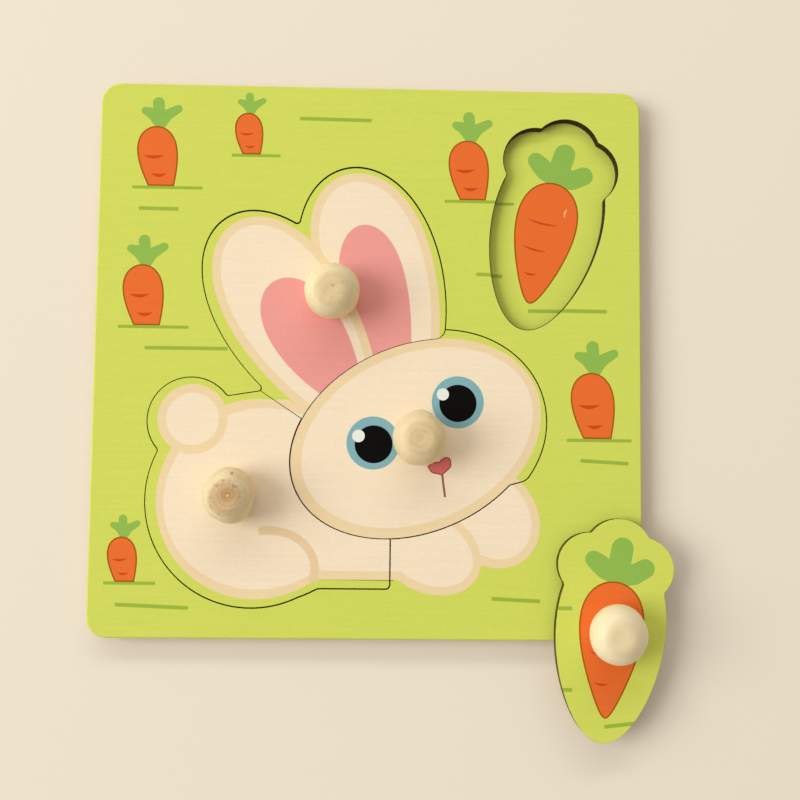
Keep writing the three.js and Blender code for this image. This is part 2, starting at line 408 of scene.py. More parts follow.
@dataclass(frozen=True)
class BarePly(Finish):
    """A sanded, unprinted veneer with long grain and short dark pores."""

    pale: Rgb = (232, 211, 171)
    dark: Rgb = (204, 172, 122)
    pore: Rgb = (150, 116, 74)

    def title(self) -> str:
        """The material's name."""
        return "bare_plywood"

    def dress(self, tree: ShaderTree) -> Value:
        """Fills the material's node tree and gives its shader."""
        place = tree.place()
        swirl = tree.grain(place, (0.012, 0.09, 0.1), 3.0, 0.6)
        bands = ((swirl * 70.0).sine() * 0.5 + 0.5) ** 1.6
        fibres = tree.grain(place, (0.06, 2.6, 2.6), 4.0)
        pores = tree.grain(place, (0.35, 5.0, 5.0), 2.0).smooth(0.66, 0.74)
        tone = 0.45 * bands + 0.55 * fibres.smooth(0.25, 0.75)
        wood = tree.mix(tone, linear(self.dark), linear(self.pale))
        colour = tree.mix(pores * 0.55, wood, linear(self.pore))
        normal = tree.bump(fibres - pores, 0.35, 0.1)
        return tree.surface(colour, 0.55 + 0.25 * fibres, normal, 0.3)


@dataclass(frozen=True)
class TurnedWood(Finish):
    """A knob's bare wood: growth rings about the pith, long fibres, darker end grain and fine tool marks.

    Attributes:
        name: The knob that is turned from it.
        pith: The middle of the rings, from the knob's axis.
        flank: The side grain's light colour.
        streak: The side grain's dark colour.
        face: The end grain's light colour.
        ring: The end grain's dark colour.
        heart: The colour about the pith.
        heart_radius: How far that colour reaches.
        ring_gap: How far apart the rings are.
        ring_share: How plainly they show.
        dot: How plainly the lathe's centre left a pale dot.
        torn: How plainly the rim of the end grain is torn.
        fleck: Where a dark fleck sits, from the knob's axis.
        fleck_radius: How large it is.
        fleck_share: How dark it is.
        middle: The knob's axis on the board.
    """

    name: str
    pith: Point
    flank: Rgb = (244, 227, 184)
    streak: Rgb = (229, 207, 160)
    face: Rgb = (231, 208, 160)
    ring: Rgb = (208, 179, 128)
    heart: Rgb = (190, 150, 100)
    heart_radius: float = 0.8
    ring_gap: float = 1.8
    ring_share: float = 0.3
    dot: float = 0.0
    torn: float = 0.1
    fleck: Point = (0.0, 0.0)
    fleck_radius: float = 0.4
    fleck_share: float = 0.0
    middle: Point = (0.0, 0.0)

    def title(self) -> str:
        """The material's name."""
        return f"turned_wood_{self.name}"

    def dress(self, tree: ShaderTree) -> Value:
        """Fills the material's node tree and gives its shader."""
        place = tree.place()
        own = tree.moved(place, (*self.middle, 0.0))
        wobble = tree.grain(place, (0.35, 0.35, 0.05), 3.0)
        radius = tree.reach(own, self.pith) + 1.8 * (wobble - 0.5)
        rings = ((radius * (2 * math.pi / self.ring_gap)).sine() * 0.5 + 0.5) ** 2.5
        fibres = tree.grain(place, (2.4, 2.4, 0.14), 4.0)
        specks = tree.noise(place, 2.6, 3.0)
        clouds = tree.noise(place, 0.35, 2.0)
        upright = tree.parts(tree.add("ShaderNodeTexCoord", output="Normal"))[2]
        end_grain = upright.smooth(0.66, 0.99)
        streaks = 0.4 * self.ring_share * rings + 0.35 * fibres.smooth(0.35, 0.75)
        side_tone = streaks + 0.35 * clouds.smooth(0.35, 0.7)
        side = tree.mix(side_tone, linear(self.flank), linear(self.streak))
        top_tone = self.ring_share * rings + 0.3 * specks.smooth(0.35, 0.7) + 0.2 * clouds
        top = tree.mix(top_tone, linear(self.face), linear(self.ring))
        hearted = radius.smooth(self.heart_radius, 0.3 * self.heart_radius)
        stained = tree.mix(hearted * (0.7 + 0.3 * rings), top, linear(self.heart))
        axis = tree.reach(own, (0.0, 0.0))
        socket = axis.smooth(1.1, 0.6) * axis.smooth(0.3, 0.6) * self.dot
        drilled = tree.mix(socket * 0.7, stained, linear(self.heart, 0.6))
        dotted = tree.mix(axis.smooth(0.5, 0.2) * self.dot, drilled, linear(self.flank))
        wood = tree.mix(end_grain, side, dotted)
        rim = upright.smooth(0.74, 0.86) * upright.smooth(0.995, 0.95)
        tears = rim * tree.grain(place, (1.1, 1.1, 0.5), 3.0).smooth(0.54, 0.66)
        fleck = tree.reach(own, self.fleck).smooth(1.3 * self.fleck_radius, 0.6 * self.fleck_radius)
        dark = (tears * self.torn).larger(fleck * self.fleck_share)
        colour = tree.mix(dark, wood, linear(self.heart, 0.45))
        _, _, height = tree.parts(own)
        marks = (axis * 7.5 * end_grain + height * 9.0 * (1 - end_grain)).sine()
        normal = tree.bump(0.5 * fibres + 0.3 * specks + 0.05 * marks - tears * self.torn, 0.25, 0.12)
        return tree.surface(colour, 0.5 + 0.25 * specks, normal, 0.25)


@dataclass(frozen=True)
class FloorPaper(Finish):
    """The plain pale ground that the puzzle lies on, with a faint tooth, which runs out into the backdrop.

    Attributes:
        backdrop: The backdrop's colour.
        tone: The paper's colour.
        near: How far from the board's middle it starts to run out.
        far: Where only the backdrop is left.
    """

    backdrop: Rgb
    tone: Rgb = (240, 229, 208)
    near: float = 200.0
    far: float = 600.0

    def title(self) -> str:
        """The material's name."""
        return "floor_paper"

    def dress(self, tree: ShaderTree) -> Value:
        """Fills the material's node tree and gives its shader."""
        place = tree.place()
        tooth = tree.noise(place, 1.2, 3.0)
        colour = tree.shade(tooth, self.tone, 0.985, 1.015)
        paper = tree.surface(colour, 0.8 + 0.15 * tooth, tree.bump(tooth, 0.1, 0.05), 0.1)
        backdrop = tree.add("ShaderNodeEmission", {}, {"Color": linear(self.backdrop), "Strength": 1.0})
        away = tree.reach(place, (0.0, 0.0)).smooth(self.near, self.far)
        return tree.add("ShaderNodeMixShader", {}, {0: away * tree.seen(), 1: paper, 2: backdrop})


def around(ring: Sequence[Any]) -> Iterable[tuple[Any, Any]]:
    """Each item of a closed ring with the one after it."""
    return zip(ring, [*ring[1:], ring[0]], strict=True)


def area_of(outline: Sequence[Point]) -> float:
    """The outline's area, which is negative where it runs clockwise."""
    return sum(a[0] * b[1] - b[0] * a[1] for a, b in around(outline)) / 2


def moved_left(outline: Sequence[Point], distance: float, least: float = 0.3) -> Outline:
    """Moves a closed outline to its left, which is inwards where it runs anticlockwise.

    Args:
        outline: The points in order.
        distance: How far each edge moves.
        least: What holds back the points of sharp corners, which would run too far.

    Returns:
        The moved points.
    """
    made: Outline = []
    for i, (x, y) in enumerate(outline):
        before, after = Vector(outline[i - 1]), Vector(outline[(i + 1) % len(outline)])
        first = (Vector((x, y)) - before).normalized()
        second = (after - Vector((x, y))).normalized()
        reach = distance / max(least, 1 + first.dot(second))
        made.append((x - (first.y + second.y) * reach, y + (first.x + second.x) * reach))
    return made


def hull_of(discs: Iterable[Disc], sides: int = 28) -> Outline:
    """The tight outline round some discs.

    Args:
        discs: Each disc's middle and radius.
        sides: How many points each disc gives.

    Returns:
        The outline, anticlockwise.
    """
    turns = [2 * math.pi * i / sides for i in range(sides)]
    dots = [Vector((x + r * math.cos(t), y + r * math.sin(t))) for x, y, r in discs for t in turns]
    return [tuple(dots[i]) for i in convex_hull_2d(dots)]


def bar(start: Point, end: Point, thickness: float, corner: float = 0.18) -> Outline:
    """A straight bar with slightly rounded corners, between two points on its middle line."""
    along = Vector(end) - Vector(start)
    side = Vector((-along.y, along.x)).normalized() * (thickness / 2 - corner)
    ends = [Vector(start) + along.normalized() * corner, Vector(end) - along.normalized() * corner]
    return hull_of([(*(p + side * sign), corner) for p in ends for sign in (-1, 1)], 12)


def crescent(start: Point, end: Point, sag: float, thickness: float, steps: int = 14) -> Outline:
    """A thin moon that hangs below the line from start to end.

    Args:
        start: Its left tip.
        end: Its right tip.
        sag: How far its lower edge hangs.
        thickness: How thick it is in the middle.
        steps: The parts of each edge.

    Returns:
        The outline, anticlockwise.
    """
    along = Vector(end) - Vector(start)
    down = Vector((along.y, -along.x)).normalized()
    shares = [i / steps for i in range(steps + 1)]
    lower = [Vector(start) + along * s + down * (sag * 4 * s * (1 - s)) for s in shares]
    upper = [p - down * (thickness * 4 * s * (1 - s)) for p, s in zip(lower, shares, strict=True)]
    return [tuple(p) for p in [*lower, *reversed(upper[1:-1])]]


def cut_below(outline: Sequence[Point], level: float) -> Outline:
    """The part of an outline at or above a level, closed by a straight cut."""
    made: Outline = []
    for a, b in around(outline):
        if a[1] >= level:
            made.append(a)
        if (a[1] >= level) != (b[1] >= level):
            share = (level - a[1]) / (b[1] - a[1])
            made.append((a[0] + share * (b[0] - a[0]), level))
    return made


@dataclass(frozen=True)
class Egg:
    """A tilted egg with its broad end along the tilt. A taper of 0 makes it an ellipse."""

    x: float
    y: float
    half_length: float
    half_width: float
    tilt: float = 0.0
    taper: float = 0.0

    def at(self, turn: float, out: float = 0.0) -> Point:
        """A point of the rim.

        Args:
            turn: The turn from the broad end, in radians.
            out: How much longer and wider the egg is taken to be.

        Returns:
            The point.
        """
        along = (self.half_length + out) * math.cos(turn)
        across = (self.half_width + out) * math.sin(turn) * (1 + self.taper * math.cos(turn))
        tilt = math.radians(self.tilt)
        x = self.x + along * math.cos(tilt) - across * math.sin(tilt)
        return (x, self.y + along * math.sin(tilt) + across * math.cos(tilt))

    def outline(self, step: float = 0.55) -> Outline:
        """The rim in steps of about a given length, anticlockwise."""
        count = max(20, round(math.pi * (self.half_length + self.half_width) / step))
        return [self.at(2 * math.pi * i / count) for i in range(count)]

    def band(self, start: float, end: float, width: float, steps: int = 40) -> Outline:
        """A band about part of the rim.

        Args:
            start: Where it starts, in degrees from the broad end.
            end: Where it ends, which is further anticlockwise.
            width: How wide it is.
            steps: The parts of each side.

        Returns:
            The outline, anticlockwise.
        """
        turns = [math.radians(start + (end - start) * i / steps) for i in range(steps + 1)]
        outer = [self.at(t, width / 2) for t in turns]
        return [*outer, *(self.at(t, -width / 2) for t in reversed(turns))]


def disc(x: float, y: float, radius: float) -> Outline:
    """A round outline."""
    return Egg(x, y, radius, radius).outline(0.45)


@dataclass(frozen=True)
class Patch:
    """A flat patch of one ink."""

    ink: Ink
    outline: Outline


@dataclass(frozen=True)
class Leaf:
    """A carrot's three-lobed leaf: chains of discs that run from one base, measured from the root's top."""

    base: Disc
    lobes: tuple[tuple[Disc, ...], ...]

    def patches(self, x: float, y: float, scale: float = 1.0, turn: float = 0.0) -> list[Patch]:
        """The leaf at a place.

        Args:
            x: The place of the root's top, along X.
            y: The same, along Y.
            scale: How much larger it is drawn.
            turn: How far it is turned anticlockwise.

        Returns:
            One patch for each link of the chains.
        """
        spin = Matrix.Rotation(math.radians(turn), 2)

        def put(round_spot: Disc) -> Disc:
            """Turns, scales and moves one disc."""
            spot = spin @ Vector(round_spot[:2]) * scale
            return (x + spot.x, y + spot.y, round_spot[2] * scale)

        chains = [[put(spot) for spot in (self.base, *lobe)] for lobe in self.lobes]
        links = [pair for chain in chains for pair in zip(chain, chain[1:], strict=False)]
        return [Patch(Ink.LEAF, hull_of(pair)) for pair in links]


@dataclass(frozen=True)
class PlantedCarrot:
    """A small printed carrot that stands in the ground, on a ground line."""

    x: float
    y: float
    scale: float = 1.0
    ground_right: float = 11.1
    ground_left: float = 7.9
    ground_level: float = -0.4
    ground_thickness: float = 0.85
    edge: float = 0.42
    root: Egg = Egg(-0.36, 2.34, 14.4, 4.25, 98.0, 0.99)
    root_steps: int = 160
    leaf: Leaf = Leaf(
        (-0.74, 16.8, 1.34),
        (
            ((-1.36, 23.1, 1.6),),
            ((-2.6, 20.0, 1.75), (-4.96, 20.9, 1.04)),
            ((0.86, 19.65, 1.58), (4.05, 21.5, 1.13)),
        ),
    )
    wrinkles: tuple[tuple[Point, Point], ...] = (((-5.1, 8.5), (0.5, 8.6)), ((-2.9, 3.45), (1.25, 3.55)))
    wrinkle_sag: float = 1.05
    wrinkle_thickness: float = 0.95

    def at(self, point: Point) -> Point:
        """A point of the carrot's own drawing, on the board."""
        return (self.x + self.scale * point[0], self.y + self.scale * point[1])

    def patches(self) -> list[Patch]:
        """The carrot's patches, in the order of printing."""
        steps = [self.root.at(2 * math.pi * i / self.root_steps) for i in range(self.root_steps)]
        root = [self.at(p) for p in cut_below(steps, 0.0)]
        ground = [self.at((x, self.ground_level)) for x in (-self.ground_left, self.ground_right)]
        made = self.leaf.patches(self.x, self.y, self.scale)
        made.append(Patch(Ink.DASH, bar(*ground, self.ground_thickness)))
        made.append(Patch(Ink.ORANGE_EDGE, root))
        made.append(Patch(Ink.ORANGE, moved_left(root, self.edge)))
        sag, thickness = self.wrinkle_sag * self.scale, self.wrinkle_thickness * self.scale
        for start, end in self.wrinkles:
            made.append(Patch(Ink.WRINKLE, crescent(self.at(start), self.at(end), sag, thickness)))
        return made


@dataclass(frozen=True)
class BigCarrot:
    """The large printed carrot of the lift-out piece and of its recess."""

    root: Egg
    wrinkles: tuple[tuple[Point, Point, float], ...]
    leaf_shift: Point
    edge: float = 0.42
    wrinkle_thickness: float = 0.62
    leaf: Leaf = Leaf(
        (1.3, 1.7, 3.1),
        (
            ((-2.85, 2.95, 2.75), (-4.6, 4.2, 2.6), (-6.15, 5.25, 2.25)),
            ((0.85, 4.3, 3.0), (1.38, 8.7, 2.95)),
            ((5.0, 2.1, 2.7), (7.8, 3.9, 2.55)),
        ),
    )

    def patches(self) -> list[Patch]:
        """The carrot's patches, in the order of printing."""
        root = self.root.outline(0.4)
        top = self.root.at(0.0)
        place = (top[0] + self.leaf_shift[0], top[1] + self.leaf_shift[1])
        made = self.leaf.patches(*place, turn=self.root.tilt - 90)
        made.append(Patch(Ink.ORANGE_EDGE, root))
        made.append(Patch(Ink.ORANGE, moved_left(root, self.edge)))
        for start, end, sag in self.wrinkles:
            made.append(Patch(Ink.WRINKLE, crescent(start, end, sag, self.wrinkle_thickness)))
        return made


@dataclass(frozen=True)
class Eye:
    """A printed eye: a blue ring, a black pupil and a white glint."""

    ring: Disc
    pupil: Disc
    glint: Disc

    def patches(self) -> list[Patch]:
        """The eye's patches, in the order of printing."""
        inks = (Ink.BLUE, Ink.BLACK, Ink.WHITE)
        spots = (self.ring, self.pupil, self.glint)
        return [Patch(ink, disc(*spot)) for ink, spot in zip(inks, spots, strict=True)]


@dataclass(frozen=True)
class RabbitPrint:
    """The lying rabbit that is printed over the frame and its three pieces, before they are cut apart."""

    right_paw_edge: Egg = Egg(32.59, -41.95, 15.1, 12.47, -46.75)
    right_paw: Egg = Egg(32.96, -41.89, 12.59, 9.98, -50.9)
    paw_band: float = 2.2
    left_paw_edge: Egg = Egg(16.32, -51.3, 14.95, 10.98, -26.9)
    rump_edge: Egg = Egg(-29.55, -37.94, 26.53, 27.04, -58.5)
    rump: Egg = Egg(-28.49, -37.86, 26.1, 24.0, 14.1)
    belly_edge: tuple[Point, ...] = ((-26, -34), (-13.5, -59.25), (8.3, -59.25), (13, -57.5), (13, -34))
    belly: tuple[Point, ...] = ((-26, -34), (-12, -57), (8.6, -57), (14, -54), (14, -34))
    shoulder: tuple[Point, ...] = (
        (-28.8, -11.4),
        (-28.7, -12.8),
        (-19.5, -14.7),
        (-18.5, -13.3),
        (-21.8, -11.35),
    )
    belly_line: tuple[Disc, Disc] = ((-13.2, -59.22, 0.06), (7.0, -59.3, 0.26))
    hind_leg: Egg = Egg(-27.8, -57.86, 14.06, 11.31, 13.7)
    leg_turns: tuple[float, float] = (-27.0, 84.0)
    leg_band: float = 2.2
    tail: Point = (-47.2, -16.85)
    tail_radius: float = 9.4
    left_ear: Egg = Egg(-18.2, 7.68, 34.66, 15.78, 123.35, 0.253)
    right_ear: Egg = Egg(3.04, 21.79, 30.49, 14.96, 110.97, 0.269)
    left_pink: Egg = Egg(-14.96, 4.0, 20.17, 9.38, 124.47, 0.256)
    right_pink: Egg = Egg(2.92, 9.97, 27.26, 8.31, 101.72, 0.445)
    band: float = 2.35
    head: Egg = Egg(12.8, -21.3, 35.25, 25.2, 23.9)
    face: Egg = Egg(13.2, -21.0, 35.25, 25.2, 23.9)
    face_band: float = 2.65
    left_eye: Eye = Eye((1.25, -22.75, 7.15), (1.4, -23.1, 5.1), (-2.7, -20.9, 1.7))
    right_eye: Eye = Eye((24.0, -11.5, 7.05), (24.05, -11.8, 5.05), (19.95, -9.4, 1.65))
    nose_lobes: tuple[tuple[Disc, ...], ...] = (
        ((19.5, -27.77, 0.33), (21.1, -27.5, 1.19), (20.69, -28.29, 1.69), (19.89, -30.85, 0.36)),
        ((16.3, -28.93, 0.34), (17.9, -29.3, 1.5), (18.44, -28.34, 0.72), (19.14, -27.98, 0.41)),
        ((17.9, -29.3, 1.5), (19.14, -27.98, 0.41), (20.0, -28.84, 0.62), (19.89, -30.85, 0.36)),
    )
    nose_edge: float = 0.3
    mouth: tuple[Point, Point] = ((19.9, -30.8), (20.75, -37.1))
    mouth_width: float = 0.6

    def body_patches(self) -> list[Patch]:
        """The paws, the rump, the belly, the hind leg and the tail, in the order of printing."""
        left_paw = self.left_paw_edge.outline()
        layers = (
            (Ink.PEACH, self.right_paw_edge.outline()),
            (Ink.CREAM, self.right_paw.outline()),
            (Ink.OLIVE, hull_of(self.belly_line)),
            (Ink.PEACH, left_paw),
            (Ink.PEACH, self.rump_edge.outline()),
            (Ink.PEACH, list(self.belly_edge)),
            (Ink.PEACH, list(self.shoulder)),
            (Ink.CREAM, moved_left(left_paw, self.paw_band)),
            (Ink.CREAM, self.rump.outline()),
            (Ink.CREAM, list(self.belly)),
            (Ink.LEG, self.hind_leg.band(*self.leg_turns, self.leg_band)),
            (Ink.PEACH, disc(*self.tail, self.tail_radius)),
            (Ink.CREAM, disc(*self.tail, self.tail_radius - self.band)),
        )
        return [Patch(ink, outline) for ink, outline in layers]

    def ear_patches(self) -> list[Patch]:
        """Both ears, the right one first because the left one lies over it."""
        made = []
        for ear, pink in ((self.right_ear, self.right_pink), (self.left_ear, self.left_pink)):
            made.append(Patch(Ink.PEACH, ear.outline()))
            made.append(Patch(Ink.CREAM, moved_left(ear.outline(), self.band)))
            made.append(Patch(Ink.PINK, pink.outline()))
        return made

    def face_patches(self) -> list[Patch]:
        """The head with its eyes, nose and mouth, in the order of printing."""
        made = [Patch(Ink.PEACH, self.head.outline())]
        made.append(Patch(Ink.CREAM, moved_left(self.face.outline(), self.face_band)))
        made.extend([*self.left_eye.patches(), *self.right_eye.patches()])
        made.append(Patch(Ink.MOUTH, bar(*self.mouth, self.mouth_width)))
        for ink, inset in ((Ink.NOSE_EDGE, 0.0), (Ink.NOSE, self.nose_edge)):
            for lobe in self.nose_lobes:
                made.append(Patch(ink, hull_of((x, y, radius - inset) for x, y, radius in lobe)))
        return made

    def patches(self) -> list[Patch]:
        """The whole rabbit, in the order of printing."""
        return [*self.body_patches(), *self.ear_patches(), *self.face_patches()]


@dataclass(frozen=True)
class Meadow:
    """The ground of the picture: grass lines and planted carrots round the rabbit."""

    thickness: float = 1.0
    lines: tuple[tuple[Point, Point], ...] = (
        ((-19.9, 66.0), (-0.2, 65.8)),
        ((-63.1, 40.3), (-52.4, 40.2)),
        ((-60.5, 2.2), (-38.2, 2.2)),
        ((28.8, 23.6), (35.9, 23.4)),
        ((43.1, 13.9), (64.6, 13.8)),
        ((-66.5, -66.2), (-47.2, -67.0)),
        ((33.4, -64.0), (46.4, -64.6)),
        ((57.3, -26.9), (70.4, -27.6)),
    )
    carrots: tuple[PlantedCarrot, ...] = (
        PlantedCarrot(-57.1, 46.5),
        PlantedCarrot(-32.75, 55.7, 0.7),
        PlantedCarrot(-59.95, 8.27),
        PlantedCarrot(-64.0, -60.3, 0.72),
        PlantedCarrot(27.95, 44.07),
        PlantedCarrot(62.15, -21.0, 1.08, ground_right=8.4),
    )

    def patches(self) -> list[Patch]:
        """The grass lines, then the carrots."""
        made = [Patch(Ink.DASH, bar(*line, self.thickness)) for line in self.lines]
        for carrot in self.carrots:
            made.extend(carrot.patches())
        return made


def board_picture() -> list[Patch]:
    """The picture on the frame and on the three rabbit pieces, in the order of printing."""
    return [*Meadow().patches(), *RabbitPrint().patches()]


def recess_picture(shift_x: float = 0.4, shift_y: float = 0.25) -> list[Patch]:
    """The picture on the backing board, which shows in the recesses.

    Args:
        shift_x: How far this print lies to the right of the frame's print.
        shift_y: How far it lies above it.

    Returns:
        The patches, in the order of printing.
    """
    wrinkles = (
        ((42.8, 40.2), (52.2, 38.0), 0.85),
        ((41.7, 32.7), (48.5, 30.7), 0.75),
        ((42.2, 25.1), (45.7, 24.4), 0.65),
    )
    carrot = BigCarrot(Egg(47.34, 33.11, 17.31, 8.0, 78.1, 0.431), wrinkles, (-0.4, -0.1))
    # A small pale orange crescent on the carrot in the recess.
    pale_mark = Patch(Ink.PALE_MARK, crescent((53.6, 40.3), (54.3, 42.9), 0.0, 0.65))
    board = [(patch.ink, [(x + shift_x, y + shift_y) for x, y in patch.outline]) for patch in board_picture()]
    return [*(Patch(*layer) for layer in board), *carrot.patches(), pale_mark]


def loose_picture() -> list[Patch]:
    """The picture on the lift-out carrot."""
    lines = (
        ((47.5, -66.06), (54.5, -66.0)),
        ((49.0, -87.3), (54.45, -87.27)),
        ((62.9, -96.8), (73.0, -95.65)),
    )
    wrinkles = (((58.9, -76.8), (65.0, -78.8), 0.85), ((60.2, -85.35), (64.0, -85.85), 0.6))
    carrot = BigCarrot(Egg(64.48, -76.78, 17.97, 7.88, 85.6, 0.509), wrinkles, (0.1, 0.1))
    return [*(Patch(Ink.DASH, bar(*line, Meadow.thickness)) for line in lines), *carrot.patches()]


@dataclass(frozen=True)
class CutEdge:
    """How an edge of a sheet is cut.

    Attributes:
        rim: How far the top edge is rounded.
        scorch: How far the burn reaches onto the print.
        spread: How far the wall stands out into the CAD model's cut, which is wider than the laser's.
        wall: The wall's finish.
    """

    rim: float
    scorch: float
    spread: float
    wall: Finish

    def steps(self, first: float = 0.3) -> list[float]:
        """How far in the rim is divided: where the burn ends, or else early in the bend, and at its end."""
        return sorted({self.scorch or first * self.rim, self.rim})


LASER_CUT = CutEdge(0.1, 0.03, 0.07, BurntCut())
RECESS_CUT = CutEdge(0.12, 0.2, 0.0, BurntCut("recess", (26, 19, 4), (72, 56, 18)))
CARROT_CUT = CutEdge(0.1, 0.03, 0.0, BurntCut("carrot", (58, 48, 16), (116, 98, 42)))
SAWN = CutEdge(0.45, 0.0, 0.0, SawnPly())
GLUED = CutEdge(0.05, 0.0, 0.0, SawnPly())
DRILLED = CutEdge(0.1, 0.0, 0.0, BarePly())


def top_loops(node: str) -> list[Outline]:
    """Reads the outlines of a CAD sheet's top face.

    Args:
        node: The CAD node.

    Returns:
        The outer outline, then those of the holes, in millimetres, each with the sheet on its left.
    """
    solid = bmesh.new()
    solid.from_mesh(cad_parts[node].data)
    bmesh.ops.remove_doubles(solid, verts=solid.verts, dist=TINY)
    level = max(v.co.z for v in solid.verts) - TINY
    on_top = {face for face in solid.faces if all(v.co.z > level for v in face.verts)}
    corners = [corner for face in on_top for corner in face.loops]
    rim = [c for c in corners if not any(f in on_top for f in c.edge.link_faces if f is not c.face)]
    following = {c.vert: c.link_loop_next.vert for c in rim}
    loops = []
    while following:
        start, vert = following.popitem()
        path = [start]
        while vert is not start:
            path.append(vert)
            vert = following.pop(vert)
        loops.append(thinned([(v.co.x / MM, v.co.y / MM) for v in path]))
    solid.free()
    return sorted(loops, key=area_of, reverse=True)


def thinned(outline: Sequence[Point], least: float = 0.1) -> Outline:
    """An outline without points that crowd the point before them."""
    kept = [outline[0]]
    for point in outline[1:]:
        if math.dist(point, kept[-1]) > least:
            kept.append(point)
    return kept if math.dist(kept[-1], kept[0]) > least else kept[:-1]


def gaps_to(points: np.ndarray, outline: Outline, block_size: int = 400) -> np.ndarray:
    """The distance from each point to an outline.

    Args:
        points: The points, one row each.
        outline: The outline's points in order.
        block_size: How many points are measured at a time, which saves memory.

    Returns:
        One distance for each point.
    """
    starts = np.array(outline)
    alongs = np.roll(starts, -1, 0) - starts
    lengths = (alongs**2).sum(1)
    gaps = []
    for block in np.array_split(points, max(1, len(points) // block_size)):
        apart = block[:, None] - starts
        share = ((apart * alongs).sum(2) / lengths).clip(0, 1)
        gaps.append(np.sqrt(((apart - share[:, :, None] * alongs) ** 2).sum(2).min(1)))
    return np.concatenate(gaps)


@dataclass
class SheetMap:
    """Where a sheet's faces lie on its map: the print large, the underside beside it, the walls in rows.

    Attributes:
        corner: The sheet's lowest X and Y.
        span: The longer of its two sides.
        thickness: How thick it is.
        print_share: The part of the map's side that the print takes.
        gap: What is left free between the areas.
        row: The row of walls that is being filled.
        reach: How far that row is filled.
    """

    corner: Point
    span: float
    thickness: float
    print_share: float = 0.78
    gap: float = 0.006
    row: int = 0
    reach: float = 0.0

    def on_top(self, x: float, y: float) -> Point:
        """The place of a point of the print."""
        scale = self.print_share / self.span
        return (self.gap + (x - self.corner[0]) * scale, self.gap + (y - self.corner[1]) * scale)

    def underneath(self, x: float, y: float) -> Point:
        """The place of a point of the underside."""
        scale = (1 - self.print_share - 3 * self.gap) / self.span
        left = self.print_share + 2 * self.gap
        return (left + (x - self.corner[0]) * scale, self.gap + (y - self.corner[1]) * scale)

    def wall(self, length: float) -> tuple[Point, Point, Point, Point]:
        """The places of the next stretch of wall.

        Args:
            length: How long the stretch is.

        Returns:
            Its corners, from the lower left one anticlockwise.
        """
        scale = self.print_share / self.span
        if self.reach + length * scale > 1 - 2 * self.gap:
            self.row += 1
            self.reach = 0.0
        left = self.gap + self.reach
        self.reach += length * scale
        right = self.gap + self.reach
        low = self.print_share + 2 * self.gap + self.row * (self.thickness * scale + self.gap)
        high = low + self.thickness * scale
        return ((left, low), (right, low), (right, high), (left, high))


def in_order(rim: Sequence[tuple[int, int]]) -> list[tuple[int, int]]:
    """The edges of closed rims, each after the edge that it follows on from."""
    following = dict(rim)
    ordered = []
    while following:
        start = next(iter(following))
        while start in following:
            end = following.pop(start)
            ordered.append((start, end))
            start = end
    return ordered


